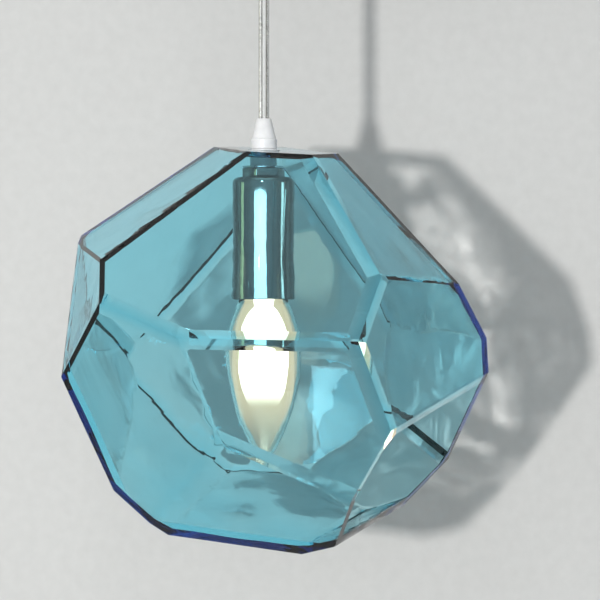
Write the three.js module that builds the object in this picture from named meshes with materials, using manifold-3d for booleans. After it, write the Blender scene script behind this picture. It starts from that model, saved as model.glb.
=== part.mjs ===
// Faceted glass pendant lamp. Millimetres, +Z up.
// The origin is on the ceiling face of the mounting bracket, the lamp hangs below it,
// and -Y is the side that faces the viewer.
import * as THREE from "three";
import { mergeVertices } from "three/addons/utils/BufferGeometryUtils.js";
import Module from "manifold-3d";

const wasm = await Module();
wasm.setup();

// ---------- clearances ----------
const GAP = 0.2; // between two pieces that bear on each other
const FIT = 0.3; // radial play of a round piece in its hole

// ---------- ceiling rose ----------
const CANOPY_R = 50;
const CANOPY_H = 25;
const CANOPY_WALL = 1.5;
const CANOPY_FILLET = 5;
const BRACKET_W = 18;
const BRACKET_T = 1.6;
const EAR_DROP = 12;
const SLOT_SPACING = 60;
const SLOT_LENGTH = 9;
const SLOT_R = 2.1;
const SIDE_SCREW_Z = -8;
const BLOCK_W = 26;
const BLOCK_D = 10;
const BLOCK_H = 9;

// ---------- ball swivel under the canopy ----------
const BALL_R = 5.5;
const RING_PLAY = 0.25;
const RING_T = 0.65;
const SOCKET_R = BALL_R + RING_PLAY + RING_T + 2.2;
const SOCKET_WALL = 2.2;
const SOCKET_ROOF = 1.5;
const SOCKET_ROOM = 1.3; // over the ball
const SEAT_PLAY = 0.8; // between the ball and the collar that holds it
const COLLAR_TOP = 3.3; // below the ball's centre
const COLLAR_NECK = 3.8;
const COLLAR_FOOT = 5.4;
const STUB_R = 4.9;
const STUB_BORE = 3;
const STUB_UP = 9;
const SWING = 28; // the cord's lean, in degrees, when it swings both ways at once

// ---------- cord and ferrule ----------
const CORD_D = 5;
const CORD_FREE = 64.8; // from the swivel down to the ferrule
const FERRULE_H = 14;
const FERRULE_TOP_R = 3.5;
const FERRULE_R = 6;
const FERRULE_BAND = 4.6;

// ---------- glass ----------
const WALL = 3.5;
const CENTRE_DROP = 92; // from the top of the glass down to the centre of the facets
const CREASE = 1.3; // how deep the blown creases are blunted
const INNER_CREASE = 3; // the same inside, where blown glass is rounder
const MOUTH = "mouth";
// Each facet: the way that it faces round the lamp (0 is the viewer, + is to the right),
// how far it looks up, both in degrees, and its distance from the centre.
const FACETS = {
  top: [20, 84, 91],
  front_upper: [-11, 37, 72],
  front_lower: [-12, -22, 77.5],
  front_left: [-38, -26, 74],
  front_foot: [-23, -40, 77],
  shoulder_left: [-59, 54, 83],
  side_left: [-71, 12, 90],
  shoulder_right: [56, 43, 85],
  side_right: [54, 6, 90],
  [MOUTH]: [67, -35, 88],
  back_shoulder_left: [-134, 42, 84],
  back_left: [-93, 4, 88.5],
  back_left_lower: [-102, -20, 83],
  back_left_foot: [-124, -48, 82],
  foot: [184, -74, 78.5],
  foot_right: [101, -71, 90],
  back_right_foot: [136, -50, 88.5],
  back_right: [114, 0, 87.5],
  back_shoulder_right: [111, 36, 76],
  back_upper: [172, 16, 82.5],
  back_lower: [177, -16, 84.5],
};

// ---------- fixing through the glass ----------
const TUBE_R = 4.9;
const TUBE_BORE = 3.1;
const SEAT_OUT = 1.3; // the flat under the ferrule, below the top of the glass
const SEAT_IN = WALL; // the flat over the bush inside
const SEAT_OUT_R = 7.6;
const BUSH_R = 6;
const BUSH_H = 5;
const SEAT_IN_R = BUSH_R + 0.6;
const WASHER_R = 9.4;
const WASHER_T = 0.9;
const NUT_T = 3.6;
const NUT_AF = 17;

// ---------- lampholder ----------
const CUP_R = 14.3;
const CUP_H = 56.6;
const CUP_WALL = 0.8;
const CUP_CORNER = 3;
const CUP_NUT_T = 2.6;
const BODY_R = 12.8;
const BODY_BORE = 8.6;
const BODY_ROOF = 4;
const SHELL_T = 0.5;

// ---------- bulb, C35 with an E14 cap ----------
const BULB_R = 17.5;
const BULB_SHOWN = 70.5; // below the rim of the cup
const CAP_R = 6.95;
const CAP_LEN = 15;
const PITCH = 2.82;
const THREAD_DEPTH = 0.45;
const BULB_WALL = 0.8;

// ---------- heights that follow ----------
const CANOPY_BOTTOM = -CANOPY_H;
const SOCKET_TOP = CANOPY_BOTTOM - GAP;
const PIVOT_Z = SOCKET_TOP - SOCKET_ROOF - SOCKET_ROOM - BALL_R;
const FERRULE_TOP = PIVOT_Z - COLLAR_FOOT - CORD_FREE;
const GLASS_TOP = FERRULE_TOP - FERRULE_H;
const TUBE_TOP = GLASS_TOP + 3.5;
const BUSH_TOP = GLASS_TOP - SEAT_IN - GAP;
const WASHER_TOP = BUSH_TOP - BUSH_H - GAP;
const NUT_TOP = WASHER_TOP - WASHER_T - GAP;
const CUP_TOP = NUT_TOP - NUT_T - GAP;
const CUP_RIM = CUP_TOP - CUP_H;
const CUP_NUT_TOP = CUP_TOP - CUP_WALL - GAP;
const TUBE_END = CUP_NUT_TOP - CUP_NUT_T - 1.5;
const BODY_TOP = TUBE_END - 3.2;
const BULB_TIP = CUP_RIM - BULB_SHOWN;
const NECK_Z = CUP_RIM + 9; // where the glass meets the cap
const CAP_TOP = NECK_Z + CAP_LEN;
const BODY_END = NECK_Z - 0.5;

const group = new THREE.Group();
group.name = "faceted_glass_pendant";

const MATERIALS = {
  white_metal: [0xe9e9e6, 0.1, 0.45],
  zinc: [0xb9bcbd, 0.9, 0.4],
  chrome: [0xdfe4e6, 1.0, 0.08],
  brass: [0xc9a54c, 1.0, 0.3],
  white_plastic: [0xf1f1ee, 0, 0.4],
  clear_pvc: [0xe6e8e8, 0, 0.15],
  black_plastic: [0x1c1c1e, 0, 0.5],
  copper: [0xb8694a, 1.0, 0.4],
  turquoise_glass: [0x5fb6c8, 0, 0.05],
  bulb_glass: [0xf4f1df, 0, 0.05],
  glow: [0xffe9b0, 0, 0.4],
};

// Welds a geometry, turns it face outward and adds it under its name.
function add(name, geometry, material) {
  const bare = geometry.clone();
  bare.deleteAttribute("normal");
  bare.deleteAttribute("uv");
  const welded = mergeVertices(bare, 1e-3);
  if (signedVolume(welded) < 0) flip(welded);
  welded.computeVertexNormals();
  const [color, metalness, roughness] = MATERIALS[material];
  const mesh = new THREE.Mesh(
    welded,
    new THREE.MeshStandardMaterial({ color, metalness, roughness, name: material }),
  );
  mesh.name = name;
  group.add(mesh);
  return mesh;
}

function signedVolume(geometry) {
  const p = geometry.getAttribute("position");
  const index = geometry.index.array;
  const [a, b, c] = [new THREE.Vector3(), new THREE.Vector3(), new THREE.Vector3()];
  let volume = 0;
  for (let i = 0; i < index.length; i += 3) {
    a.fromBufferAttribute(p, index[i]);
    b.fromBufferAttribute(p, index[i + 1]);
    c.fromBufferAttribute(p, index[i + 2]);
    volume += a.dot(b.cross(c)) / 6;
  }
  return volume;
}

function flip(geometry) {
  const index = geometry.index.array;
  for (let i = 0; i < index.length; i += 3) {
    const keep = index[i];
    index[i] = index[i + 2];
    index[i + 2] = keep;
  }
}

// ---------- solids for cutting and joining ----------
function solid(geometry) {
  const bare = geometry.clone();
  bare.deleteAttribute("normal");
  bare.deleteAttribute("uv");
  const welded = mergeVertices(bare, 1e-4);
  if (signedVolume(welded) < 0) flip(welded);
  return new wasm.Manifold(
    new wasm.Mesh({
      numProp: 3,
      vertProperties: new Float32Array(welded.getAttribute("position").array),
      triVerts: new Uint32Array(welded.index.array),
    }),
  );
}

function toGeometry(manifold) {
  const mesh = manifold.getMesh();
  const points = new Float32Array(mesh.numVert * 3);
  for (let i = 0; i < mesh.numVert; i++) {
    for (let k = 0; k < 3; k++) {
      points[3 * i + k] = mesh.vertProperties[i * mesh.numProp + k];
    }
  }
  const geometry = new THREE.BufferGeometry();
  geometry.setAttribute("position", new THREE.BufferAttribute(points, 3));
  geometry.setIndex(new THREE.BufferAttribute(new Uint32Array(mesh.triVerts), 1));
  return geometry;
}

// ---------- shapes ----------
// A turned piece from a list of [radius, height], round the vertical axis.
function turned(points, segments = 32) {
  const profile = points.map(([r, z]) => new THREE.Vector2(r, z));
  const geometry = new THREE.LatheGeometry(profile, segments);
  geometry.rotateX(Math.PI / 2);
  return geometry;
}

function ring(inner, outer, low, high, segments = 32) {
  return turned(
    [
      [inner, low],
      [outer, low],
      [outer, high],
      [inner, high],
      [inner, low],
    ],
    segments,
  );
}

function disc(radius, low, high, segments = 40) {
  return turned(
    [
      [0, low],
      [radius, low],
      [radius, high],
      [0, high],
    ],
    segments,
  );
}

function block(x, y, z, at) {
  const geometry = new THREE.BoxGeometry(x, y, z);
  geometry.translate(...at);
  return geometry;
}

// A hexagon nut across the flats, with its hole, from low to high.
function nut(flats, hole, low, high) {
  const shape = new THREE.Shape();
  const corner = flats / Math.sqrt(3);
  for (let i = 0; i < 6; i++) {
    const angle = (i * Math.PI) / 3 + 0.2;
    const [x, y] = [corner * Math.cos(angle), corner * Math.sin(angle)];
    if (i === 0) shape.moveTo(x, y);
    else shape.lineTo(x, y);
  }
  shape.closePath();
  shape.holes.push(new THREE.Path().absarc(0, 0, hole, 0, 2 * Math.PI, true));
  const geometry = new THREE.ExtrudeGeometry(shape, {
    depth: high - low,
    bevelEnabled: false,
    curveSegments: 14,
  });
  geometry.translate(0, 0, low);
  return geometry;
}

// A round wire along a smooth line through the points.
function wire(points, radius, steps = 18, sides = 4) {
  const path = new THREE.CatmullRomCurve3(points.map((p) => new THREE.Vector3(...p)));
  const shape = new THREE.Shape().absarc(0, 0, radius, 0, 2 * Math.PI);
  return new THREE.ExtrudeGeometry(shape, {
    steps,
    curveSegments: sides,
    extrudePath: path,
    bevelEnabled: false,
  });
}

// A slotted screw along X: head on the outside, shank pointing to the axis.
function sideScrew(side, headFace, tip, z) {
  const head = turned([
    [0, 0],
    [2.4, 0],
    [3.1, 0.8],
    [3.1, 1.6],
    [2.6, 2.1],
    [0, 2.1],
  ], 24);
  const shank = disc(1.4, tip - headFace, 0.4, 20);
  const slot = solid(block(7, 0.8, 1.4, [0, 0, 2.3]));
  const whole = solid(head).add(solid(shank)).subtract(slot);
  const geometry = toGeometry(whole);
  geometry.rotateY(Math.PI / 2);
  geometry.translate(headFace, 0, z);
  if (side < 0) geometry.rotateZ(Math.PI);
  return geometry;
}

// A cheese-head screw that stands along Z, head up.
function topScrew(x, y, underHead, length, headR, headH, shankR) {
  const head = disc(headR, 0, headH, 20);
  const shank = disc(shankR, -length, 0.2, 16);
  const slot = solid(block(headR * 3, headR * 0.35, headH, [0, 0, headH]));
  const geometry = toGeometry(solid(head).add(solid(shank)).subtract(slot));
  geometry.translate(x, y, underHead);
  return geometry;
}

// ---------- ceiling rose ----------
function ceilingRose() {
  const canopy = [];
  const holeR = STUB_R + FIT;
  canopy.push([holeR, CANOPY_BOTTOM]);
  for (let i = 0; i <= 4; i++) {
    const a = (i * Math.PI) / 8;
    canopy.push([
      CANOPY_R - CANOPY_FILLET + CANOPY_FILLET * Math.sin(a),
      CANOPY_BOTTOM + CANOPY_FILLET - CANOPY_FILLET * Math.cos(a),
    ]);
  }
  canopy.push([CANOPY_R, 0]);
  canopy.push([CANOPY_R - CANOPY_WALL, 0]);
  const inner = CANOPY_FILLET - CANOPY_WALL;
  for (let i = 4; i >= 0; i--) {
    const a = (i * Math.PI) / 8;
    canopy.push([
      CANOPY_R - CANOPY_FILLET + inner * Math.sin(a),
      CANOPY_BOTTOM + CANOPY_FILLET - inner * Math.cos(a),
    ]);
  }
  canopy.push([holeR, CANOPY_BOTTOM + CANOPY_WALL]);
  canopy.push([holeR, CANOPY_BOTTOM]);
  const screwHole = new THREE.CylinderGeometry(1.7, 1.7, 2 * CANOPY_R + 8, 20);
  screwHole.rotateZ(Math.PI / 2);
  screwHole.translate(0, 0, SIDE_SCREW_Z);
  const shell = solid(turned(canopy, 48)).subtract(solid(screwHole));
  add("ceiling_canopy", toGeometry(shell), "white_metal");

  const reach = CANOPY_R - CANOPY_WALL - 1.2;
  let bracket = solid(block(2 * reach, BRACKET_W, BRACKET_T, [0, 0, -BRACKET_T / 2]));
  for (const side of [-1, 1]) {
    const earX = side * (reach - BRACKET_T / 2);
    bracket = bracket.add(
      solid(block(BRACKET_T, 12, EAR_DROP, [earX, 0, -EAR_DROP / 2])),
    );
    const slotMid = (side * SLOT_SPACING) / 2;
    const straight = SLOT_LENGTH / 2 - SLOT_R;
    bracket = bracket.subtract(
      solid(block(2 * straight, 2 * SLOT_R, 10, [slotMid, 0, 0])),
    );
    for (const end of [-straight, straight]) {
      const round = disc(SLOT_R, -5, 5, 24);
      round.translate(slotMid + end, 0, 0);
      bracket = bracket.subtract(solid(round));
    }
  }
  bracket = bracket.subtract(solid(screwHole));
  add("mounting_bracket", toGeometry(bracket), "zinc");

  const face = CANOPY_R + GAP;
  add("canopy_screw_right", sideScrew(1, face, reach - 5, SIDE_SCREW_Z), "zinc");
  add("canopy_screw_left", sideScrew(-1, face, reach - 5, SIDE_SCREW_Z), "zinc");

  const blockTop = -BRACKET_T - GAP;
  const blockZ = blockTop - BLOCK_H / 2;
  let terminal = solid(block(BLOCK_W, BLOCK_D, BLOCK_H, [0, 0, blockZ]));
  for (const side of [-1, 1]) {
    const well = disc(1.9, blockTop - BLOCK_H - 1, blockTop - BLOCK_H + 5, 20);
    well.translate(side * 7, 0, 0);
    const port = new THREE.CylinderGeometry(1.2, 1.2, BLOCK_D + 2, 16);
    port.translate(side * 7, 0, blockTop - 2.6);
    terminal = terminal.subtract(solid(well)).subtract(solid(port));
  }
  add("terminal_block", toGeometry(terminal), "white_plastic");
  for (const [word, side] of [["left", -1], ["right", 1]]) {
    const screw = disc(1.5, 0, 3.2, 20);
    const cut = solid(block(5, 0.6, 1, [0, 0, 0]));
    const piece = toGeometry(solid(screw).subtract(cut));
    piece.translate(side * 7, 0, blockTop - BLOCK_H + 0.6);
    add(`block_screw_${word}`, piece, "brass");
  }
}

// ---------- ball swivel ----------
function swivel() {
  const outer = SOCKET_R + SOCKET_WALL;
  const roof = SOCKET_TOP - SOCKET_ROOF;
  const collarTop = PIVOT_Z - COLLAR_TOP;
  const rim = collarTop + GAP;
  const bore = STUB_R + GAP;
  const socket = [
    [bore, roof],
    [bore, SOCKET_TOP],
    [outer - 1, SOCKET_TOP],
    [outer, SOCKET_TOP - 1],
    [outer, rim],
    [SOCKET_R, rim],
    [SOCKET_R, roof],
    [bore, roof],
  ];
  add("swivel_socket", turned(socket, 32), "chrome");
  add(
    "swivel_nipple",
    ring(STUB_BORE, STUB_R, roof, SOCKET_TOP + STUB_UP, 32),
    "zinc",
  );
  const nutTop = CANOPY_BOTTOM + CANOPY_WALL + GAP + 3;
  add("swivel_nut", nut(14, STUB_R + GAP, nutTop - 3, nutTop), "zinc");

  const seat = (drop) => Math.sqrt((BALL_R + SEAT_PLAY) ** 2 - drop ** 2);
  const foot = PIVOT_Z - COLLAR_FOOT;
  const swing = COLLAR_FOOT * Math.tan(THREE.MathUtils.degToRad(SWING));
  const collar = [
    [seat(COLLAR_NECK), PIVOT_Z - COLLAR_NECK],
    [swing + CORD_D / 2 + 0.7, foot],
    [outer - 0.8, foot],
    [outer, foot + 0.8],
    [outer, collarTop],
    [seat(COLLAR_TOP), collarTop],
    [seat(COLLAR_NECK), PIVOT_Z - COLLAR_NECK],
  ];
  add("swivel_collar", turned(collar, 36), "chrome");

  const ringIn = BALL_R + RING_PLAY;
  const half = 0.8;
  add(
    "swivel_ring",
    ring(ringIn, ringIn + RING_T, PIVOT_Z - half, PIVOT_Z + half, 32),
    "white_plastic",
  );
  const cordBore = CORD_D / 2 + GAP;
  const low = Math.asin(cordBore / BALL_R);
  const ball = [];
  for (let i = 0; i <= 12; i++) {
    const a = low + ((Math.PI - 2 * low) * i) / 12;
    ball.push([BALL_R * Math.sin(a), PIVOT_Z - BALL_R * Math.cos(a)]);
  }
  ball.push(ball[0]);
  add("swivel_ball", turned(ball, 24), "chrome");
  for (const [word, side] of [["live", -1], ["neutral", 1]]) {
    const x = side * 1.3;
    const end = side * 7;
    const lead = wire(
      [
        [x, 0, PIVOT_Z + BALL_R + 1.6],
        [x, 0, SOCKET_TOP + STUB_UP],
        [x * 1.5, -5, SOCKET_TOP + STUB_UP + 2.2],
        [end, -8, -5.5],
        [end, -6.5, -BRACKET_T - GAP - 2.6],
        [end, -2, -BRACKET_T - GAP - 2.6],
      ],
      0.8,
      24,
    );
    add(`supply_wire_${word}`, lead, "copper");
  }
}

// ---------- cord and ferrule ----------
function cordAndFerrule() {
  const top = PIVOT_Z + 4.6;
  add("cord", disc(CORD_D / 2, TUBE_TOP + 0.6, top, 32), "clear_pvc");

  const bore = CORD_D / 2 + GAP;
  const foot = GLASS_TOP - 0.1;
  const socket = TUBE_R + FIT;
  add(
    "cord_ferrule",
    turned([
      [bore, FERRULE_TOP],
      [FERRULE_TOP_R - 0.3, FERRULE_TOP],
      [FERRULE_TOP_R, FERRULE_TOP - 0.4],
      [FERRULE_R - 0.5, GLASS_TOP + FERRULE_BAND + 0.3],
      [FERRULE_R, GLASS_TOP + FERRULE_BAND - 0.3],
      [FERRULE_R, foot + 0.4],
      [FERRULE_R - 0.4, foot],
      [socket, foot],
      [socket, TUBE_TOP + GAP],
      [bore, TUBE_TOP + GAP],
      [bore, FERRULE_TOP],
    ], 32),
    "white_plastic",
  );
}

// ---------- glass ----------
function facing([around, up]) {
  const a = THREE.MathUtils.degToRad(around);
  const e = THREE.MathUtils.degToRad(up);
  return new THREE.Vector3(
    Math.sin(a) * Math.cos(e),
    -Math.cos(a) * Math.cos(e),
    Math.sin(e),
  );
}

// A block with one flat cut for every facet, each facet moved inward by its own depth.
function stone(depthOf, blunting) {
  const centre = new THREE.Vector3(0, 0, GLASS_TOP - CENTRE_DROP);
  const planes = Object.entries(FACETS).map(([name, facet]) => {
    const normal = facing(facet);
    return { normal, reach: normal.dot(centre) + facet[2] - depthOf(name) };
  });
  let body = solid(block(300, 300, 300, centre.toArray()));
  for (const { normal, reach } of planes) {
    body = body.trimByPlane(normal.clone().negate().toArray(), -reach);
  }
  const corners = body.getMesh();
  for (let i = 0; i < planes.length; i++) {
    for (let k = i + 1; k < planes.length; k++) {
      body = blunt(body, corners, planes[i], planes[k], blunting);
    }
  }
  return body;
}

// Takes a narrow flat off the crease between two facets, where they meet at all.
function blunt(body, corners, one, two, depth) {
  const on = (p, plane) => Math.abs(plane.normal.dot(p) - plane.reach) < 0.02;
  let shared = 0;
  for (let i = 0; i < corners.numVert; i++) {
    const at = i * corners.numProp;
    const p = new THREE.Vector3(
      corners.vertProperties[at],
      corners.vertProperties[at + 1],
      corners.vertProperties[at + 2],
    );
    if (on(p, one) && on(p, two)) shared += 1;
  }
  if (shared < 2) return body;
  const sum = one.normal.clone().add(two.normal);
  const length = sum.length();
  const reach = (one.reach + two.reach) / length;
  const open = 1 - length / 2;
  const cut = depth * Math.min(1, 4 * open + 0.15);
  return body.trimByPlane(sum.divideScalar(-length).toArray(), -(reach - cut));
}

function glass() {
  const outside = stone(() => 0, CREASE);
  const depth = { [MOUTH]: -6 };
  const inside = stone((name) => depth[name] ?? WALL, INNER_CREASE);
  const hole = disc(TUBE_R + FIT, GLASS_TOP - 30, GLASS_TOP + 10, 40);
  const seatOut = disc(SEAT_OUT_R, GLASS_TOP - SEAT_OUT, GLASS_TOP + 10, 48);
  const seatIn = disc(SEAT_IN_R, GLASS_TOP - 20, GLASS_TOP - SEAT_IN, 48);
  const shade = outside
    .subtract(inside)
    .subtract(solid(hole))
    .subtract(solid(seatOut))
    .subtract(solid(seatIn));
  add("glass_shade", toGeometry(shade), "turquoise_glass");
}

// ---------- fixing through the glass ----------
function fixing() {
  const washerTop = GLASS_TOP - SEAT_OUT + GAP + 0.7;
  add(
    "outer_washer",
    ring(TUBE_R + FIT, SEAT_OUT_R - 0.4, washerTop - 0.7, washerTop, 32),
    "white_plastic",
  );
  add("threaded_tube", ring(TUBE_BORE, TUBE_R, TUBE_END, TUBE_TOP, 40), "white_plastic");
  const hole = TUBE_R + FIT;
  add("inner_bush", ring(hole, BUSH_R, BUSH_TOP - BUSH_H, BUSH_TOP, 40), "white_plastic");
  add("lock_washer", ring(hole, WASHER_R, WASHER_TOP - WASHER_T, WASHER_TOP, 36), "zinc");
  add("lock_nut", nut(NUT_AF, TUBE_R + GAP, NUT_TOP - NUT_T, NUT_TOP), "chrome");
  add(
    "cup_nut",
    nut(14, TUBE_R + GAP, CUP_NUT_TOP - CUP_NUT_T, CUP_NUT_TOP),
    "zinc",
  );
}

// ---------- lampholder ----------
function lampholder() {
  const cup = [[TUBE_R + FIT, CUP_TOP]];
  for (let i = 0; i <= 4; i++) {
    const a = (i * Math.PI) / 8;
    cup.push([
      CUP_R - CUP_CORNER + CUP_CORNER * Math.sin(a),
      CUP_TOP - CUP_CORNER + CUP_CORNER * Math.cos(a),
    ]);
  }
  cup.push([CUP_R, CUP_RIM + 0.3]);
  cup.push([CUP_R - 0.3, CUP_RIM]);
  cup.push([CUP_R - CUP_WALL, CUP_RIM]);
  const inner = CUP_CORNER - CUP_WALL;
  for (let i = 4; i >= 0; i--) {
    const a = (i * Math.PI) / 8;
    cup.push([
      CUP_R - CUP_CORNER + inner * Math.sin(a),
      CUP_TOP - CUP_CORNER + inner * Math.cos(a),
    ]);
  }
  cup.push([TUBE_R + FIT, CUP_TOP - CUP_WALL]);
  cup.push([TUBE_R + FIT, CUP_TOP]);
  add("holder_cup", turned(cup, 40), "chrome");

  let body = solid(
    turned([
      [BODY_BORE, BODY_END],
      [BODY_R - 0.8, BODY_END],
      [BODY_R, BODY_END + 0.8],
      [BODY_R, BODY_TOP - 2],
      [BODY_R - 2, BODY_TOP],
      [3.2, BODY_TOP],
      [3.2, BODY_TOP - BODY_ROOF],
      [BODY_BORE, BODY_TOP - BODY_ROOF],
      [BODY_BORE, BODY_END],
    ], 40),
  );
  for (const side of [-1, 1]) {
    const screwHole = disc(1.5, BODY_TOP - BODY_ROOF - 2, BODY_TOP + 2, 20);
    screwHole.translate(side * 5.6, 0, 0);
    body = body.subtract(solid(screwHole));
  }
  add("lampholder_body", toGeometry(body), "black_plastic");

  const crest = CAP_R + 0.35;
  const shell = [];
  const turns = 4.5;
  const high = NECK_Z + turns * PITCH + 1;
  for (let i = 0; i <= turns * 4; i++) {
    const wave = THREAD_DEPTH * 0.5 * (1 - Math.cos((i * Math.PI) / 2));
    shell.push([crest + SHELL_T + wave, NECK_Z + 0.8 + (i * PITCH) / 4]);
  }
  for (let i = turns * 4; i >= 0; i--) {
    const wave = THREAD_DEPTH * 0.5 * (1 - Math.cos((i * Math.PI) / 2));
    shell.push([crest + wave, NECK_Z + 0.8 + (i * PITCH) / 4]);
  }
  shell.push(shell[0]);
  add("socket_shell", turned(shell, 24), "brass");

  const roofIn = BODY_TOP - BODY_ROOF;
  const seat = CAP_TOP + 3.4;
  let contact = solid(block(5.4, 3.2, 0.6, [0.9, 0, seat]));
  contact = contact.add(solid(block(0.6, 3.2, roofIn - seat, [3.3, 0, (roofIn + seat) / 2])));
  contact = contact.add(solid(block(5, 3.2, 0.6, [5.2, 0, roofIn - 0.5])));
  add("centre_contact", toGeometry(contact), "brass");
  const sideLow = high + 0.6;
  let strap = solid(block(0.6, 3.2, roofIn - sideLow, [-7.2, 0, (roofIn + sideLow) / 2 - 0.2]));
  strap = strap.add(solid(block(4.5, 3.2, 0.6, [-5.4, 0, roofIn - 0.5])));
  add("side_contact", toGeometry(strap), "brass");
  for (const [word, side] of [["live", 1], ["neutral", -1]]) {
    const under = BODY_TOP + GAP;
    add(
      `terminal_screw_${word}`,
      topScrew(side * 5.6, 0, under, BODY_ROOF, 2.2, 1.6, 1.2),
      "zinc",
    );
    const x = side * 1.4;
    const lead = wire(
      [
        [x, 0, TUBE_TOP - 1],
        [x, 0, TUBE_END],
        [side * 1.6, 0, BODY_TOP - BODY_ROOF + 0.6],
        [side * 1.5, 0, BODY_TOP - BODY_ROOF - 3],
      ],
      0.8,
      14,
    );
    add(`lead_wire_${word}`, lead, "copper");
  }
}

// ---------- bulb ----------
// Radius of the glass as a share of the full radius, and height as a share of the length.
const CANDLE = [
  [0.0, 0.0],
  [0.09, 0.007],
  [0.2, 0.024],
  [0.37, 0.067],
  [0.54, 0.14],
  [0.69, 0.23],
  [0.82, 0.34],
  [0.92, 0.455],
  [0.98, 0.56],
  [1.0, 0.655],
  [0.965, 0.755],
  [0.83, 0.88],
  [0.635, 1.0],
];

function bulb() {
  const at = CANDLE.map(([r, h]) => new THREE.Vector2(r * BULB_R, BULB_TIP + h * BULB_SHOWN));
  const waist = CAP_R - 0.2 - BULB_WALL;
  at.push(new THREE.Vector2(8.4, CUP_RIM + 4));
  at.push(new THREE.Vector2(waist, CUP_RIM + 7.6));
  at.push(new THREE.Vector2(waist - 0.2, NECK_Z + 3));
  const outer = new THREE.SplineCurve(at).getPoints(18);
  outer[0].x = 0;
  const profile = outer.map((p) => [p.x, p.y]);
  for (let i = outer.length - 1; i >= 0; i--) {
    const before = outer[Math.max(0, i - 1)];
    const after = outer[Math.min(outer.length - 1, i + 1)];
    const along = after.clone().sub(before).normalize();
    const x = i === 0 ? 0 : Math.max(0, outer[i].x - along.y * BULB_WALL);
    const y = outer[i].y + (i === 0 ? BULB_WALL : along.x * BULB_WALL);
    if (i === 0 || x > 0.02) profile.push([x, y]);
  }
  add("bulb_envelope", turned(profile, 32), "bulb_glass");

  const capIn = CAP_R - THREAD_DEPTH - 0.35;
  const cap = [];
  const turns = 4;
  const foot = NECK_Z + 1.6;
  const top = foot + turns * PITCH + 0.6;
  cap.push([capIn, NECK_Z - 0.6]);
  cap.push([CAP_R - 0.05, NECK_Z - 0.6]);
  cap.push([CAP_R - 0.05, foot - 0.8]);
  for (let i = 0; i <= turns * 4; i++) {
    const wave = THREAD_DEPTH * 0.5 * (1 - Math.cos((i * Math.PI) / 2));
    cap.push([CAP_R - THREAD_DEPTH + wave, foot + (i * PITCH) / 4]);
  }
  cap.push([CAP_R - THREAD_DEPTH, top]);
  cap.push([capIn, top]);
  cap.push([capIn, NECK_Z - 0.6]);
  add("bulb_screw_shell", turned(cap, 24), "brass");

  const glassTop = top + GAP;
  add(
    "bulb_insulator",
    turned([
      [0, glassTop],
      [CAP_R - 0.9, glassTop],
      [CAP_R - 1.2, glassTop + 0.8],
      [3.2, CAP_TOP + 1.6],
      [2.7, CAP_TOP + 1.6],
      [2.7, CAP_TOP + 0.7],
      [0, CAP_TOP + 0.7],
    ], 32),
    "black_plastic",
  );
  add(
    "bulb_contact_button",
    turned([
      [0, CAP_TOP + 0.9],
      [2.4, CAP_TOP + 0.9],
      [2.4, CAP_TOP + 1.9],
      [1.6, CAP_TOP + 2.6],
      [0, CAP_TOP + 2.8],
    ], 28),
    "zinc",
  );

  const stemTop = NECK_Z + 0.5;
  const stemEnd = CUP_RIM - 14;
  add(
    "bulb_stem",
    turned([
      [0, stemTop],
      [4.4, stemTop],
      [4.4, stemTop - 1],
      [2.6, stemTop - 5],
      [1.9, stemEnd + 5],
      [2.6, stemEnd + 1.5],
      [2.2, stemEnd],
      [0, stemEnd],
    ], 28),
    "bulb_glass",
  );
  const wireTop = stemEnd - GAP;
  const hang = stemEnd - 13;
  for (const [word, side] of [["left", -1], ["right", 1]]) {
    add(
      `filament_post_${word}`,
      wire(
        [
          [side * 1.2, 0, wireTop],
          [side * 3.2, 0, wireTop - 6],
          [side * 6, 0, hang],
        ],
        0.35,
        8,
        3,
      ),
      "zinc",
    );
  }
  const loops = [];
  for (let i = 0; i <= 8; i++) {
    const x = -6 + (12 * i) / 8;
    loops.push([x, i % 2 ? 1.6 : -1.6, hang - 1.2 - 2.2 * Math.sin((i * Math.PI) / 8)]);
  }
  add("filament", wire(loops, 0.4, 32, 3), "glow");
}

ceilingRose();
swivel();
cordAndFerrule();
glass();
fixing();
lampholder();
bulb();

export default group;
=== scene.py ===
"""Picture model of a faceted glass pendant lamp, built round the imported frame."""

import math

import bmesh
import bpy
from mathutils import Matrix, Vector, noise


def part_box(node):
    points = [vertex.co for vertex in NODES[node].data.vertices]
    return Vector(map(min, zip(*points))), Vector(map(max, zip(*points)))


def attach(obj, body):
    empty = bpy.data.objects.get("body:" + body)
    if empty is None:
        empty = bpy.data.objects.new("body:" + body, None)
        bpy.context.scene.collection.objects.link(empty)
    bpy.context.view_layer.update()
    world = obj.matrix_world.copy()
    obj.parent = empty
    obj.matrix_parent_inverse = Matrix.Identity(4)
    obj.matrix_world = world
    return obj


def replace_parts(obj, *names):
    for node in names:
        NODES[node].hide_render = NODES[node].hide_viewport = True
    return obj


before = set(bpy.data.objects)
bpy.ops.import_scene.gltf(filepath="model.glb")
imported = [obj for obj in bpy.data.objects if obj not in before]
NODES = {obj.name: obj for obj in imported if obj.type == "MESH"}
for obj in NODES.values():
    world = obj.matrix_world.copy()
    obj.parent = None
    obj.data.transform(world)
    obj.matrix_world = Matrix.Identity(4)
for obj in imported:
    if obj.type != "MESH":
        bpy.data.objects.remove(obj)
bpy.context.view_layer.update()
MM = 0.001

# Places that the whole scene shares, from the frame.
CUP_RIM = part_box("holder_cup")[0].z
GLASS_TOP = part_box("cord_ferrule")[0].z + 0.1 * MM
BULB_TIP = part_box("bulb_envelope")[0].z

# The camera: how far off it stands, how far right of the cord and below the glass top.
CAMERA_AWAY = 1.2
CAMERA_RIGHT = 16.6 * MM
CAMERA_BELOW = 69.6 * MM
CAMERA_LENS = 156.2

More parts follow.
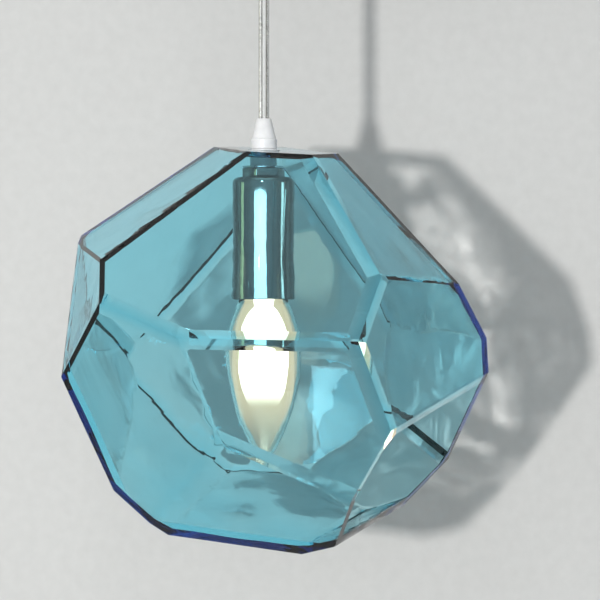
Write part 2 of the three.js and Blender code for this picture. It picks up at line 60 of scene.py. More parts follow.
# Cord: a clear sheath with a plain and a twisted conductor inside.
SHEATH_RADIUS = 2.5 * MM
PLAIN_X, PLAIN_RADIUS = -1.15 * MM, 0.75 * MM
TWIST_X, TWIST_RADIUS = 1.1 * MM, 0.34 * MM
TWIST_PITCH, TWIST_OFF = 3.6 * MM, 0.32 * MM
STRAND_END_GAP = 0.4 * MM

# Glass shade.
WIDE_FACE = 3 * MM  # area over outline of a face that counts as a facet
ONE_FACET = math.radians(0.4)  # faces that differ less than this are one facet
GLASS_WELD = 2e-6
OUTER_CREASE, INNER_CREASE = 0.55 * MM, 4.2 * MM
GLASS_GRID = 5 * MM
HOLE_PLAY = 0.3 * MM
SEAT_RECESS = 0.1 * MM
TOOL_RUN_OUT, TOOL_DEPTH = 10 * MM, 20 * MM
GLASS_TINT, GLASS_DENSITY = (0.02, 0.80, 0.93, 1), 145

# Light in the bulb.
FILAMENT_UP = 44 * MM  # the middle of the glare above the bulb's tip
GLARE_INSET = 0.95

# Room.
WALL_Y, FLOOR_Z, ROOM_BEND = 0.2, -1.1, 0.3
ROOM_HALF, ROOM_FRONT, ROOM_TOP = 2.2, -2.5, 1.2


# ---------------------------------------------------------------- camera
def make_camera():
    data = bpy.data.cameras.new("camera")
    data.sensor_width = 36
    data.lens = CAMERA_LENS
    data.clip_start, data.clip_end = 0.05, 30
    camera = bpy.data.objects.new("camera", data)
    bpy.context.scene.collection.objects.link(camera)
    camera.location = (CAMERA_RIGHT, -CAMERA_AWAY, GLASS_TOP - CAMERA_BELOW)
    camera.rotation_euler = (math.pi / 2, 0, 0)
    bpy.context.scene.camera = camera


# ---------------------------------------------------------------- node helpers
class Mat:
    """A node material with a few short ways to add nodes."""

    def __init__(self, name):
        self.m = bpy.data.materials.new(name)
        self.m.use_nodes = True
        self.t = self.m.node_tree
        self.t.nodes.clear()
        self.out = self.add("ShaderNodeOutputMaterial")

    def add(self, kind, **values):
        node = self.t.nodes.new(kind)
        for key, value in values.items():
            if hasattr(node, key):
                setattr(node, key, value)
            else:
                node.inputs[key.replace("_", " ")].default_value = value
        return node

    def link(self, a, b):
        self.t.links.new(a, b)

    def principled(self, **values):
        node = self.add("ShaderNodeBsdfPrincipled")
        for key, value in values.items():
            node.inputs[key.replace("_", " ")].default_value = value
        self.link(node.outputs["BSDF"], self.out.inputs["Surface"])
        return node

    def object_coords(self, stretch=(1, 1, 1)):
        coords = self.add("ShaderNodeTexCoord")
        mapping = self.add("ShaderNodeMapping")
        mapping.inputs["Scale"].default_value = stretch
        self.link(coords.outputs["Object"], mapping.inputs["Vector"])
        return mapping.outputs["Vector"]

    def noise(self, scale, detail=3.0, stretch=(1, 1, 1), rough=0.5, warp=0.0):
        node = self.add("ShaderNodeTexNoise")
        node.inputs["Scale"].default_value = scale
        node.inputs["Detail"].default_value = detail
        node.inputs["Roughness"].default_value = rough
        node.inputs["Distortion"].default_value = warp
        self.link(self.object_coords(stretch), node.inputs["Vector"])
        return node.outputs["Fac"]

    def ramp(self, fac, low, high, start=0.3, end=0.7):
        node = self.add("ShaderNodeMapRange")
        node.inputs["From Min"].default_value = start
        node.inputs["From Max"].default_value = end
        node.inputs["To Min"].default_value = low
        node.inputs["To Max"].default_value = high
        self.link(fac, node.inputs["Value"])
        return node.outputs["Result"]

    def colours(self, fac, painted_flank_shade):
        node = self.add("ShaderNodeValToRGB")
        ramp = node.color_ramp
        while len(ramp.elements) < len(painted_flank_shade):
            ramp.elements.new(0.5)
        for element, (at, colour) in zip(ramp.elements, painted_flank_shade):
            element.position = at
            element.color = (*colour, 1)
        self.link(fac, node.inputs["Fac"])
        return node.outputs["Color"]

    def bump(self, height, strength, distance, normal=None):
        node = self.add("ShaderNodeBump")
        node.inputs["Strength"].default_value = strength
        node.inputs["Distance"].default_value = distance
        self.link(height, node.inputs["Height"])
        if normal is not None:
            self.link(normal, node.inputs["Normal"])
        return node.outputs["Normal"]


# ---------------------------------------------------------------- materials
def metal_material(name, dark, light, rough, scale, bump=0.05):
    """A metal whose grain runs from a dark to a light colour."""
    m = Mat(name)
    p = m.principled(Metallic=1.0)
    grain = m.noise(scale, 4)
    m.link(m.colours(grain, [(0.3, dark), (0.7, light)]), p.inputs["Base Color"])
    smudge = m.noise(scale * 0.15, 3)
    m.link(m.ramp(smudge, rough[0], rough[1]), p.inputs["Roughness"])
    m.link(m.bump(grain, bump, 0.1 * MM), p.inputs["Normal"])
    return m.m


def chrome_material():
    """Polished chrome with painted shade: its colour is darkened where it turns away from
    the camera, in place of dark reflections on its flanks.
    """
    m = Mat("chrome")
    p = m.principled(Metallic=1.0)
    facing = m.add("ShaderNodeLayerWeight")
    facing.inputs["Blend"].default_value = 0.5
    # Painted shade: the colour runs from light where the surface faces the camera to near
    # black where it turns away.
    painted_flank_shade = [
        (0.0, (0.88, 0.88, 0.86)),
        (0.12, (0.60, 0.56, 0.52)),
        (0.5, (0.09, 0.08, 0.075)),
    ]
    m.link(m.colours(facing.outputs["Facing"], painted_flank_shade), p.inputs["Base Color"])
    m.link(m.ramp(m.noise(35, 3), 0.04, 0.12), p.inputs["Roughness"])
    m.link(m.bump(m.noise(90, 2), 0.05, 0.2 * MM), p.inputs["Normal"])
    return m.m


def plastic_material(name, dark, light, rough, scale, bump=0.05, glow=0.0):
    """A plastic or paint; glow lets light into it, as in white plastic."""
    m = Mat(name)
    p = m.principled(IOR=1.5)
    if glow:
        p.inputs["Subsurface Weight"].default_value = glow
        p.inputs["Subsurface Radius"].default_value = (4 * MM, 4 * MM, 3.5 * MM)
        p.inputs["Subsurface Scale"].default_value = 0.6
    grain = m.noise(scale, 3)
    m.link(m.colours(grain, [(0.3, dark), (0.7, light)]), p.inputs["Base Color"])
    m.link(m.ramp(m.noise(scale * 0.4, 2), rough[0], rough[1]), p.inputs["Roughness"])
    m.link(m.bump(grain, bump, 0.1 * MM), p.inputs["Normal"])
    return m.m


def turquoise_glass():
    """Glass that takes more red the thicker it is, with slow waves and streaks."""
    m = Mat("turquoise_glass")
    p = m.principled(IOR=1.5, Roughness=0.0)
    p.inputs["Base Color"].default_value = (1, 1, 1, 1)
    p.inputs["Transmission Weight"].default_value = 1.0
    waves = m.noise(14, 2, (1, 1, 0.7), 0.45, 0.6)
    streaks = m.noise(42, 2, (1, 1, 0.45), 0.5, 1.2)
    normal = m.bump(waves, 0.12, 6 * MM)
    m.link(m.bump(streaks, 0.06, 1.2 * MM, normal), p.inputs["Normal"])
    inside = m.add("ShaderNodeVolumeAbsorption")
    inside.inputs["Color"].default_value = GLASS_TINT
    inside.inputs["Density"].default_value = GLASS_DENSITY
    m.link(inside.outputs["Volume"], m.out.inputs["Volume"])
    return m.m


def clear_glass(name, tint, rough, wave):
    """Untinted glass or clear plastic with faint streaks along it."""
    m = Mat(name)
    p = m.principled(IOR=1.48, Roughness=rough)
    p.inputs["Base Color"].default_value = (*tint, 1)
    p.inputs["Transmission Weight"].default_value = 1.0
    streaks = m.noise(60, 2, (1, 1, 0.25), 0.5, 0.8)
    m.link(m.bump(streaks, wave, 0.6 * MM), p.inputs["Normal"])
    return m.m


def light_material(name, strength, share, fade_from, fade_to, colour):
    """Part of the glare of the filament: it fades towards the tip of the bulb."""
    m = Mat(name)
    emission = m.add("ShaderNodeEmission")
    emission.inputs["Color"].default_value = (*colour, 1)
    emission.inputs["Strength"].default_value = strength
    clear = m.add("ShaderNodeBsdfTransparent")
    mix = m.add("ShaderNodeMixShader")
    coords = m.add("ShaderNodeTexCoord")
    split = m.add("ShaderNodeSeparateXYZ")
    m.link(coords.outputs["Object"], split.inputs["Vector"])
    fade = m.add("ShaderNodeMapRange")
    fade.interpolation_type = "SMOOTHSTEP"
    fade.inputs["From Min"].default_value = BULB_TIP + fade_from
    fade.inputs["From Max"].default_value = BULB_TIP + fade_to
    fade.inputs["To Max"].default_value = share
    m.link(split.outputs["Z"], fade.inputs["Value"])
    m.link(fade.outputs["Result"], mix.inputs["Fac"])
    m.link(clear.outputs["BSDF"], mix.inputs[1])
    m.link(emission.outputs["Emission"], mix.inputs[2])
    m.link(mix.outputs["Shader"], m.out.inputs["Surface"])
    return m.m


def build_materials():
    return {
        "white_metal": plastic_material(
            "white_metal", (0.74, 0.74, 0.72), (0.84, 0.84, 0.82), (0.35, 0.5), 900
        ),
        "zinc": metal_material(
            "zinc", (0.42, 0.44, 0.46), (0.62, 0.64, 0.66), (0.25, 0.45), 500, 0.1
        ),
        "chrome": chrome_material(),
        "brass": metal_material(
            "brass", (0.55, 0.38, 0.14), (0.75, 0.56, 0.24), (0.2, 0.4), 400
        ),
        "white_plastic": plastic_material(
            "white_plastic",
            (0.80, 0.81, 0.82),
            (0.88, 0.89, 0.90),
            (0.3, 0.42),
            300,
            0.03,
            0.5,
        ),
        "black_plastic": plastic_material(
            "black_plastic", (0.015, 0.015, 0.017), (0.03, 0.03, 0.032), (0.3, 0.5), 350
        ),
        "copper": metal_material(
            "copper", (0.60, 0.27, 0.15), (0.80, 0.42, 0.27), (0.2, 0.35), 600
        ),
        "tin": metal_material(
            "tin", (0.62, 0.62, 0.60), (0.92, 0.92, 0.90), (0.15, 0.3), 900, 0.1
        ),
        "turquoise_glass": turquoise_glass(),
        "bulb_glass": clear_glass("bulb_glass", (1.0, 0.99, 0.95), 0.0, 0.02),
        "clear_pvc": clear_glass("clear_pvc", (0.97, 0.98, 0.98), 0.12, 0.3),
        "glow_0": light_material("glow_0", 9, 1.0, 22 * MM, 40 * MM, (1.0, 0.80, 0.62)),
        "glow_1": light_material("glow_1", 1.5, 0.45, 6 * MM, 36 * MM, (1.0, 0.66, 0.42)),
        "glow_2": light_material("glow_2", 1.0, 0.32, -10 * MM, 24 * MM, (1.0, 0.60, 0.36)),
    }


# ---------------------------------------------------------------- geometry helpers
def new_object(name, mesh, material, body):
    """A piece of the picture model that rides on a body of the frame."""
    obj = bpy.data.objects.new(name, mesh)
    bpy.context.scene.collection.objects.link(obj)
    mesh.materials.clear()
    mesh.materials.append(material)
    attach(obj, body)
    return obj


def apply_modifiers(obj):
    """Turns what the modifiers make into the object's own mesh."""
    depsgraph = bpy.context.evaluated_depsgraph_get()
    mesh = bpy.data.meshes.new_from_object(obj.evaluated_get(depsgraph))
    old = obj.data
    obj.modifiers.clear()
    obj.data = mesh
    bpy.data.meshes.remove(old)


def smooth_by_angle(mesh, degrees):
    """Smooth shading, except over edges that turn by more than the angle."""
    bm = bmesh.new()
    bm.from_mesh(mesh)
    limit = math.radians(degrees)
    for face in bm.faces:
        face.smooth = True
    for edge in bm.edges:
        edge.smooth = len(edge.link_faces) == 2 and edge.calc_face_angle(0) < limit
    bm.to_mesh(mesh)
    bm.free()


def section(node):
    """The outline of a turned CAD node on its -Y side, as a chain of (radius, z)."""
    bm = bmesh.new()
    bm.from_mesh(NODES[node].data)
    bmesh.ops.remove_doubles(bm, verts=bm.verts, dist=1e-6)
    bmesh.ops.bisect_plane(
        bm,
        geom=bm.verts[:] + bm.edges[:] + bm.faces[:],
        dist=2e-7,
        plane_co=(0, 0, 0),
        plane_no=(1, 0, 0),
        clear_outer=True,
    )
    rim = [
        e
        for e in bm.edges
        if all(abs(v.co.x) < 2e-6 and v.co.y < 1e-6 for v in e.verts)
        and (e.is_boundary or len(e.link_faces) < 2)
    ]
    near = {}
    for e in rim:
        v, w = e.verts[0], e.verts[1]
        near.setdefault(v, []).append(w)
        near.setdefault(w, []).append(v)
    ends = [v for v in near if len(near[v]) == 1]
    start = min(ends or list(near), key=lambda v: (round(abs(v.co.y), 5), v.co.z))
    chain, before, at = [start], None, start
    while True:
        step = [v for v in near[at] if v is not before]
        if not step or step[0] is start:
            break
        before, at = at, step[0]
        chain.append(at)
    closed = not ends
    points = [(max(0.0, -v.co.y), v.co.z) for v in chain]
    bm.free()
    return points, closed


def straightened(points, closed):
    """The chain without the points that lie on the line between their neighbours."""
    kept = []
    count = len(points)
    for i, p in enumerate(points):
        if not closed and i in (0, count - 1):
            kept.append(p)
            continue
        a, b = Vector(points[i - 1]), Vector(points[(i + 1) % count])
        c = Vector(p)
        u, v = (c - a), (b - c)
        if u.length < 1e-7 or v.length < 1e-7 or u.angle(v) > math.radians(0.6):
            kept.append(p)
    return kept


def rounded(points, closed, radius):
    """The chain with each corner sharper than 25 degrees rounded a little."""
    made = []
    count = len(points)
    for i, p in enumerate(points):
        c = Vector(p)
        if not closed and i in (0, count - 1):
            made.append(c)
            continue
        a, b = Vector(points[i - 1]), Vector(points[(i + 1) % count])
        u, v = (a - c), (b - c)
        turn = math.pi - u.angle(v)
        if turn < math.radians(25):
            made.append(c)
            continue
        cut = min(radius * math.tan(turn / 2), 0.4 * u.length, 0.4 * v.length)
        p0, p2 = c + u.normalized() * cut, c + v.normalized() * cut
        for k in range(4):
            s = k / 3
            made.append(p0 * (1 - s) ** 2 + c * 2 * s * (1 - s) + p2 * s * s)
    return [(max(0.0, q.x), q.y) for q in made]


def revolve(name, points, closed, steps, material, body):
    """A solid of revolution from a chain of (radius, z)."""
    bm = bmesh.new()
    rings = []
    for r, z in points:
        if r < 1e-6:
            rings.append([bm.verts.new((0, 0, z))])
            continue
        turn = [2 * math.pi * k / steps for k in range(steps)]
        rings.append([bm.verts.new((r * math.sin(a), -r * math.cos(a), z)) for a in turn])
    pairs = list(zip(rings, rings[1:]))
    if closed:
        pairs.append((rings[-1], rings[0]))
    for low, high in pairs:
        for k in range(steps):
            n = (k + 1) % steps
            if len(low) == 1 and len(high) == 1:
                continue
            if len(low) == 1:
                bm.faces.new((low[0], high[n], high[k]))
            elif len(high) == 1:
                bm.faces.new((low[k], low[n], high[0]))
            else:
                bm.faces.new((low[k], low[n], high[n], high[k]))
    bmesh.ops.recalc_face_normals(bm, faces=bm.faces)
    mesh = bpy.data.meshes.new(name)
    bm.to_mesh(mesh)
    bm.free()
    smooth_by_angle(mesh, 35)
    return new_object(name, mesh, material, body)


def refined_turned(node, material, body, steps=96, radius=0.15 * MM):
    """A smooth, finely turned copy of a turned CAD node, with eased corners."""
    points, closed = section(node)
    points = rounded(straightened(points, closed), closed, radius)
    obj = revolve(f"{node}_fine", points, closed, steps, material, body)
    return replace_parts(obj, node)


def refined_hard(node, material, body):
    """A copy of a CAD node with eased edges."""
    mesh = NODES[node].data.copy()
    bm = bmesh.new()
    bm.from_mesh(mesh)
    bmesh.ops.remove_doubles(bm, verts=bm.verts, dist=1e-6)
    bmesh.ops.dissolve_limit(
        bm, angle_limit=math.radians(0.5), verts=bm.verts, edges=bm.edges
    )
    sharp = [e for e in bm.edges if e.calc_face_angle(0) > math.radians(30)]
    bmesh.ops.bevel(
        bm,
        geom=sharp,
        offset=0.15 * MM,
        segments=2,
        profile=0.6,
        affect="EDGES",
        clamp_overlap=True,
    )
    bm.to_mesh(mesh)
    bm.free()
    smooth_by_angle(mesh, 35)
    obj = new_object(f"{node}_fine", mesh, material, body)
    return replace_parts(obj, node)


def smooth_copy(node, material, body):
    """A copy of a CAD node with its own shape, smoothly shaded."""
    mesh = NODES[node].data.copy()
    smooth_by_angle(mesh, 35)
    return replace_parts(new_object(f"{node}_fine", mesh, material, body), node)


# ---------------------------------------------------------------- cord
def strand(name, centre, twist, radius, low, high, phase, material):
    """One conductor in the cord, which winds round x = centre when it has a twist."""
    curve = bpy.data.curves.new(name, "CURVE")
    curve.dimensions = "3D"
    curve.bevel_depth = radius
    curve.bevel_resolution = 3
    curve.use_fill_caps = True
    spline = curve.splines.new("POLY")
    count = 160 if twist else 2
    spline.points.add(count - 1)
    for i in range(count):
        z = high + (low - high) * i / (count - 1)
        a = phase + (2 * math.pi * (high - z) / twist if twist else 0)
        off = TWIST_OFF if twist else 0
        spline.points[i].co = (centre + off * math.cos(a), off * math.sin(a), z, 1)
    obj = bpy.data.objects.new(name, curve)
    bpy.context.scene.collection.objects.link(obj)
    curve.materials.append(material)
    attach(obj, "pendant")
    return obj


def build_cord(mats):
    """The clear sheath in place of the CAD cord, and the conductors inside it."""
    low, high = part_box("cord")
    curve = bpy.data.curves.new("cord_sheath", "CURVE")
    curve.dimensions = "3D"
    curve.bevel_depth = SHEATH_RADIUS
    curve.bevel_resolution = 8
    curve.use_fill_caps = True
    spline = curve.splines.new("POLY")
    spline.points.add(16)
    for i in range(17):
        spline.points[i].co = (0, 0, low.z + (high.z - low.z) * i / 16, 1)
    sheath = bpy.data.objects.new("cord_sheath", curve)
    bpy.context.scene.collection.objects.link(sheath)
    curve.materials.append(mats["clear_pvc"])
    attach(sheath, "pendant")
    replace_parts(sheath, "cord")
    ends = low.z + STRAND_END_GAP, high.z - STRAND_END_GAP
    plain = strand("cord_strand_plain", PLAIN_X, 0, PLAIN_RADIUS, *ends, 0, mats["tin"])
    for k in range(3):
        phase = 2 * math.pi * k / 3
        name = f"cord_strand_twist_{k}"
        strand(name, TWIST_X, TWIST_PITCH, TWIST_RADIUS, *ends, phase, mats["tin"])
    ball = smooth_copy("swivel_ball", mats["chrome"], "ball")


# ---------------------------------------------------------------- glass shade
def grid_cut(bm, step):
    """Cuts every face along planes a step apart, so that it can be waved."""
    for axis in range(3):
        low = min(v.co[axis] for v in bm.verts)
        high = max(v.co[axis] for v in bm.verts)
        normal = Vector([1.0 if i == axis else 0.0 for i in range(3)])
        at = low + step
        while at < high - 0.3 * step:
            bmesh.ops.bisect_plane(
                bm,
                geom=bm.verts[:] + bm.edges[:] + bm.faces[:],
                dist=1e-6,
                plane_co=normal * at,
                plane_no=normal,
            )
            at += step


def wave_glass(bm, centre):
    """Waves in the blown glass: more inside, and most of all low down and at the mouth."""
    bm.normal_update()
    moves = []
    for v in bm.verts:
        away = (v.co - centre).normalized()
        inner = 0.5 - 0.5 * max(-1.0, min(1.0, 3 * v.normal.dot(away)))
        hold = 1.0
        if v.co.z > GLASS_TOP - 20 * MM:
            clear_of_hole = (Vector((v.co.x, v.co.y)).length - 13 * MM) / (12 * MM)
            hold = max(0.0, min(1.0, clear_of_hole))
        lowness = (GLASS_TOP - 85 * MM - v.co.z) / (60 * MM)
        mouthness = (v.co.x - 45 * MM) / (30 * MM)
        rough = 0.2 + 1.3 * max(0.0, min(1.0, max(lowness, mouthness)))
        low = noise.noise(v.co * 26 + Vector((3.1, 0.4, 7.7)))
        fine = noise.noise(v.co * 60 + Vector((0.7, 5.2, 1.9)))
        inside = (0.6 * low + 0.26 * fine) * MM * rough
        outside = 0.08 * low * MM
        moves.append((inner * inside + (1 - inner) * outside) * hold)
    for v, move in zip(bm.verts, moves):
        v.co += v.normal * move


def bevel_creases(bm, centre, inside, width, segments):
    """Eases the creases of the inside or of the outside of the glass."""
    found = []
    for e in bm.edges:
        if e.calc_face_angle(0) < math.radians(4):
            continue
        middle = (e.verts[0].co + e.verts[1].co) / 2
        normal = (e.link_faces[0].normal + e.link_faces[1].normal).normalized()
        if (normal.dot((middle - centre).normalized()) < 0) == inside:
            found.append(e)
    bmesh.ops.bevel(
        bm,
        geom=found,
        offset=width,
        segments=segments,
        profile=0.5,
        affect="EDGES",
        clamp_overlap=True,
    )


def join_facets(bm):
    """Makes one face of each flat facet again."""
    bmesh.ops.remove_doubles(bm, verts=bm.verts, dist=GLASS_WELD)
    bmesh.ops.dissolve_limit(bm, angle_limit=ONE_FACET, verts=bm.verts, edges=bm.edges)


def facet_planes(centre):
    """The CAD shade's flat faces, as (point, outward normal): outside, inside, mouth."""
    bm = bmesh.new()
    bm.from_mesh(NODES["glass_shade"].data)
    join_facets(bm)
    outside, inside, narrow = [], [], []
    for face in bm.faces:
        middle = face.calc_center_median()
        around = sum(e.calc_length() for e in face.edges)
        outward = face.normal.dot((middle - centre).normalized()) > 0
        if face.calc_area() / around > WIDE_FACE:
            (outside if outward else inside).append((middle, face.normal.copy()))
        elif outward and middle.z < centre.z:
            narrow.append((face.calc_area(), middle, face.normal.copy()))
    mouth, most = None, 0.0
    for _, middle, normal in narrow:
        same = 0.0
        for area, other, direction in narrow:
            level = abs((other - middle).dot(normal)) < 2e-5
            if level and direction.dot(normal) > 0.9999:
                same += area
        if same > most:
            most, mouth = same, (middle, normal)
    bm.free()
    return outside, [(m, -n) for m, n in inside], mouth


def linked(name, bm):
    """An object in the scene from a bmesh, which it frees."""
    mesh = bpy.data.meshes.new(name)
    bm.to_mesh(mesh)
    bm.free()
    obj = bpy.data.objects.new(name, mesh)
    bpy.context.scene.collection.objects.link(obj)
    return obj


def convex_solid(name, centre, planes):
    """The space on the near side of every plane, as an object."""
    bm = bmesh.new()
    bmesh.ops.create_cube(bm, size=0.5, matrix=Matrix.Translation(centre))
    for point, normal in planes:
        bmesh.ops.bisect_plane(
            bm,
            geom=bm.verts[:] + bm.edges[:] + bm.faces[:],
            dist=1e-7,
            plane_co=point,
            plane_no=normal,
            clear_outer=True,
        )
        rim = [e for e in bm.edges if e.is_boundary]
        if rim:
            bmesh.ops.holes_fill(bm, edges=rim, sides=0)
    bmesh.ops.recalc_face_normals(bm, faces=bm.faces)
    return linked(name, bm)


def cylinder(name, radius, low, high):
    """An upright cutter on the axis of the cord."""
    bm = bmesh.new()
    place = Matrix.Translation((0, 0, (low + high) / 2))
    bmesh.ops.create_cone(
        bm,
        cap_ends=True,
        segments=64,
        radius1=radius,
        radius2=radius,
        depth=high - low,
        matrix=place,
    )
    return linked(name, bm)


def cut_away(obj, tools):
    """Cuts the tools out of the object and drops them."""
    for tool in tools:
        cut = obj.modifiers.new("cut", "BOOLEAN")
        cut.operation, cut.solver, cut.object = "DIFFERENCE", "EXACT", tool
    apply_modifiers(obj)
    for tool in tools:
        mesh = tool.data
        bpy.data.objects.remove(tool)
        bpy.data.meshes.remove(mesh)


def mirrored_panel(name, planes, through, size, height, energy, colour):
    """A light placed where the far facet on a line of sight mirrors it into the camera."""
    eye = bpy.context.scene.camera.location
    sight = (through - eye).normalized()
    far = None
    for point, normal in planes:
        slope = sight.dot(normal)
        if slope > 0:
            reach = (point - eye).dot(normal) / slope
            if far is None or reach < far[0]:
                far = (reach, normal)
    reach, normal = far
    spot = eye + sight * reach
    area_light(name, spot + sight.reflect(normal), spot, size, energy, colour, height)


def light_far_facets(planes):
    """Panels for the bright far facets beside the bulb and at the right."""
    cool = (0.95, 0.98, 1.0)
    beside_bulb = Vector((24 * MM, 0, BULB_TIP + 24 * MM))
    at_right = Vector((66 * MM, 0, BULB_TIP + 56 * MM))
    mirrored_panel("beside_bulb", planes, beside_bulb, 0.09, 0.2, 0.45, cool)
    mirrored_panel("at_right", planes, at_right, 0.1, 0.1, 0.3, cool)


def build_shade(mats):
    """The faceted shell again, from the planes of the CAD shade, with crisper creases."""
    low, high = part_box("glass_shade")
    centre = (low + high) / 2
    outside, inside, mouth = facet_planes(centre)
    light_far_facets(outside)
    obj = convex_solid("glass_shade_fine", centre, outside + [mouth])
    fixing = ("threaded_tube", "outer_washer", "inner_bush")
    tube, washer, bush = (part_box(name) for name in fixing)
    above = GLASS_TOP + TOOL_RUN_OUT
    seat_out, seat_in = washer[0].z - SEAT_RECESS, bush[1].z + SEAT_RECESS
    tools = [
        convex_solid("hollow", centre, inside),
        cylinder("hole", tube[1].x + HOLE_PLAY, bush[0].z, above),
        cylinder("seat_out", washer[1].x + HOLE_PLAY, seat_out, above),
        cylinder("seat_in", bush[1].x + HOLE_PLAY, bush[0].z - TOOL_DEPTH, seat_in),
    ]
    cut_away(obj, tools)
    bm = bmesh.new()
    bm.from_mesh(obj.data)
    join_facets(bm)
    bevel_creases(bm, centre, True, INNER_CREASE, 6)
    bevel_creases(bm, centre, False, OUTER_CREASE, 3)
    grid_cut(bm, GLASS_GRID)
    bmesh.ops.remove_doubles(bm, verts=bm.verts, dist=5e-6)
    wave_glass(bm, centre)
    bm.to_mesh(obj.data)
    bm.free()
    obj.data.materials.clear()
    obj.data.materials.append(mats["turquoise_glass"])
    smooth_by_angle(obj.data, 42)
    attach(obj, "shade")
    weighted = obj.modifiers.new("weighted", "WEIGHTED_NORMAL")
    weighted.keep_sharp = True
    apply_modifiers(obj)
    obj.cycles.is_caustics_caster = True
    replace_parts(obj, "glass_shade")


# ---------------------------------------------------------------- bulb
def build_bulb(mats):
    """The clear glass, and three shells of light in place of the filament."""
    refined_turned("bulb_envelope", mats["bulb_glass"], "bulb", 96, 0.1 * MM)
    top, tip = CUP_RIM + 2 * MM, BULB_TIP + 0.9 * MM
    heart = BULB_TIP + FILAMENT_UP
    outlines = [
        glare_outline(heart, 25 * MM, 11.8 * MM, 5 * MM, top),
        glare_outline(heart - 3 * MM, 34 * MM, 14.6 * MM, 9 * MM, top),
        [(r * GLARE_INSET, z) for r, z in candle_outline(tip, top)],
    ]
    pieces = []
    for k, points in enumerate(outlines):
        name = f"filament_glare_{k}"
        pieces.append(revolve(name, points, False, 64, mats[f"glow_{k}"], "bulb"))
        smooth_by_angle(pieces[-1].data, 180)
    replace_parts(pieces[0], "filament")


def glare_outline(heart, tall, wide, neck, top):
    """A drop of light round the filament, drawn up into a neck at the cup."""
    points = []
    for i in range(33):
        z = heart - tall + (top - heart + tall) * i / 32
        drop = max(0.0, 1 - ((z - heart) / tall) ** 2) ** 0.5 * wide
        rise = max(0.0, min(1.0, (z - heart) / (top - heart)))
        points.append((max(drop, neck * rise) if i else 0.0, z))
    points.append((0.0, top))
    return points


def candle_outline(tip, top):
    """The candle shape inside the bulb, from its tip to the cup, as (radius, z)."""
    length = top - tip
    points = []
    for i in range(29):
        t = i / 28
        if t < 0.62:
            r = math.sin(math.pi / 2 * (t / 0.62)) ** 0.85
        else:
            r = 0.40 + 0.60 * math.cos(math.pi / 2 * ((t - 0.62) / 0.38)) ** 0.8
        points.append((r * 16.6 * MM, tip + t * length))
    points.append((0.0, top))
    return points


# ---------------------------------------------------------------- room
def build_room():
    """A pale wall that curves into a floor, seen from its front only."""
    m = Mat("wall_paint")
    p = m.principled(Roughness=0.75)
    grain = m.noise(160, 4)
    paint = m.colours(grain, [(0.3, (0.60, 0.605, 0.60)), (0.7, (0.63, 0.635, 0.63))])
    m.link(paint, p.inputs["Base Color"])
    m.link(m.bump(grain, 0.05, 0.3 * MM), p.inputs["Normal"])
    clear = m.add("ShaderNodeBsdfTransparent")
    mix = m.add("ShaderNodeMixShader")
    side = m.add("ShaderNodeNewGeometry")
    m.link(side.outputs["Backfacing"], mix.inputs["Fac"])
    m.link(p.outputs["BSDF"], mix.inputs[1])
    m.link(clear.outputs["BSDF"], mix.inputs[2])
    m.link(mix.outputs["Shader"], m.out.inputs["Surface"])

    bm = bmesh.new()
    bend_y, bend_z = WALL_Y - ROOM_BEND, FLOOR_Z + ROOM_BEND
    profile = [(ROOM_FRONT, FLOOR_Z), (bend_y, FLOOR_Z)]
    for i in range(1, 13):
        a = math.pi / 2 * i / 12
        profile.append((bend_y + ROOM_BEND * math.sin(a), bend_z - ROOM_BEND * math.cos(a)))
    profile.append((WALL_Y, ROOM_TOP))
    rows = []
    for y, z in profile:
        rows.append([bm.verts.new((x, y, z)) for x in (-ROOM_HALF, ROOM_HALF)])
    for a, b in zip(rows, rows[1:]):
        bm.faces.new((a[0], a[1], b[1], b[0]))
    mesh = bpy.data.meshes.new("wall_and_floor")
    bm.to_mesh(mesh)
    bm.free()
    for polygon in mesh.polygons:
        polygon.use_smooth = True
    wall = bpy.data.objects.new("wall_and_floor", mesh)
    bpy.context.scene.collection.objects.link(wall)
    mesh.materials.append(m.m)
    wall.cycles.is_caustics_receiver = True


def area_light(name, place, target, size, energy, colour=(1, 1, 1), height=None):
    """A square panel, or one with its own height, that faces the target."""
    data = bpy.data.lights.new(name, "AREA")
    data.shape = "RECTANGLE"
    data.size, data.size_y = size, height or size
    data.energy = energy
    data.color = colour
    light = bpy.data.objects.new(name, data)
    bpy.context.scene.collection.objects.link(light)
    light.location = place
    aim = Vector(target) - Vector(place)
    light.rotation_euler = aim.to_track_quat("-Z", "Y").to_euler()
    return light


def build_light():
    """A small key light for the sharp shadow, wide soft panels, and a dim grey room."""
    middle = Vector((0, 0, GLASS_TOP - 90 * MM))
    warm_white, cool_white, cream = (1.0, 0.98, 0.95), (0.95, 0.98, 1.0), (1.0, 0.86, 0.45)
    key = area_light("key", (-0.462, -1.71, middle.z), middle, 0.06, 22, warm_white)
    key.data.cycles.is_caustics_light = True
    area_light("window", (-0.37, -1.9, -0.1), middle, 1.6, 10, cool_white, 0.8)
    area_light("left_strip", (-1.3, -0.12, -0.1), middle, 0.3, 0.8, cream, 0.5)
    area_light("right_strip", (1.3, -0.32, -0.1), middle, 0.26, 1.2, warm_white, 0.5)
    area_light("top", (0.0, -0.3, 1.3), middle, 1.4, 2.5)
    build_world()


def build_world():
    """Grey surroundings that are lighter above than below."""
    dim, bright = 0.06, 0.30
    world = bpy.data.worlds.new("room")
    world.use_nodes = True
    bpy.context.scene.world = world
    tree = world.node_tree
    background = tree.nodes["Background"]
    coords = tree.nodes.new("ShaderNodeTexCoord")
    split = tree.nodes.new("ShaderNodeSeparateXYZ")
    rise = tree.nodes.new("ShaderNodeMapRange")
    rise.inputs["From Min"].default_value = -0.6
    rise.inputs["From Max"].default_value = 0.9
    rise.inputs["To Min"].default_value = dim
    rise.inputs["To Max"].default_value = bright
    tree.links.new(coords.outputs["Generated"], split.inputs["Vector"])
    tree.links.new(split.outputs["Z"], rise.inputs["Value"])
    tree.links.new(rise.outputs["Result"], background.inputs["Strength"])
    background.inputs["Color"].default_value = (0.78, 0.82, 0.86, 1)


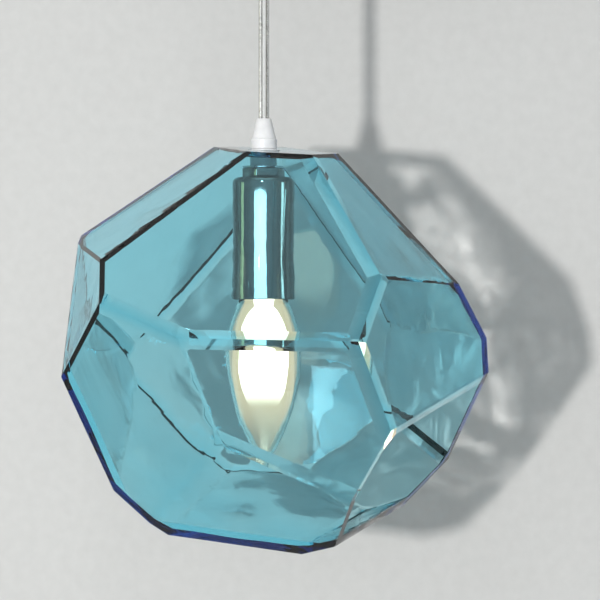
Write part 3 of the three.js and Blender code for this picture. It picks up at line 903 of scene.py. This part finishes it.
# ---------------------------------------------------------------- the whole
make_camera()
MATS = build_materials()
build_cord(MATS)
build_shade(MATS)
build_bulb(MATS)

TURNED = [
    ("holder_cup", "chrome", "pendant"),
    ("cord_ferrule", "white_plastic", "pendant"),
    ("outer_washer", "white_plastic", "pendant"),
    ("threaded_tube", "white_plastic", "pendant"),
    ("inner_bush", "white_plastic", "pendant"),
    ("lock_washer", "zinc", "pendant"),
    ("socket_shell", "brass", "pendant"),
    ("bulb_screw_shell", "brass", "bulb"),
    ("bulb_insulator", "black_plastic", "bulb"),
    ("bulb_contact_button", "zinc", "bulb_lift"),
    ("bulb_stem", "bulb_glass", "bulb"),
    ("swivel_socket", "chrome", "rose"),
    ("swivel_collar", "chrome", "rose"),
    ("swivel_nipple", "zinc", "rose"),
    ("swivel_ring", "white_plastic", "gimbal"),
]
for node, material, body in TURNED:
    refined_turned(node, MATS[material], body)

HARD = [
    ("lock_nut", "chrome", "pendant"),
    ("cup_nut", "zinc", "pendant"),
    ("lampholder_body", "black_plastic", "pendant"),
    ("centre_contact", "brass", "pendant"),
    ("side_contact", "brass", "pendant"),
    ("terminal_screw_live", "zinc", "pendant"),
    ("terminal_screw_neutral", "zinc", "pendant"),
    ("swivel_nut", "zinc", "rose"),
    ("mounting_bracket", "zinc", "rose"),
    ("canopy_screw_left", "zinc", "rose"),
    ("canopy_screw_right", "zinc", "rose"),
    ("terminal_block", "white_plastic", "rose"),
    ("block_screw_left", "brass", "rose"),
    ("block_screw_right", "brass", "rose"),
]
for node, material, body in HARD:
    refined_hard(node, MATS[material], body)

SMOOTHED = [
    ("ceiling_canopy", "white_metal", "rose"),
    ("supply_wire_live", "copper", "rose"),
    ("supply_wire_neutral", "copper", "rose"),
    ("lead_wire_live", "copper", "pendant"),
    ("lead_wire_neutral", "copper", "pendant"),
    ("filament_post_left", "zinc", "bulb"),
    ("filament_post_right", "zinc", "bulb"),
]
for node, material, body in SMOOTHED:
    smooth_copy(node, MATS[material], body)

build_room()
build_light()
bpy.context.scene.view_settings.view_transform = "Standard"
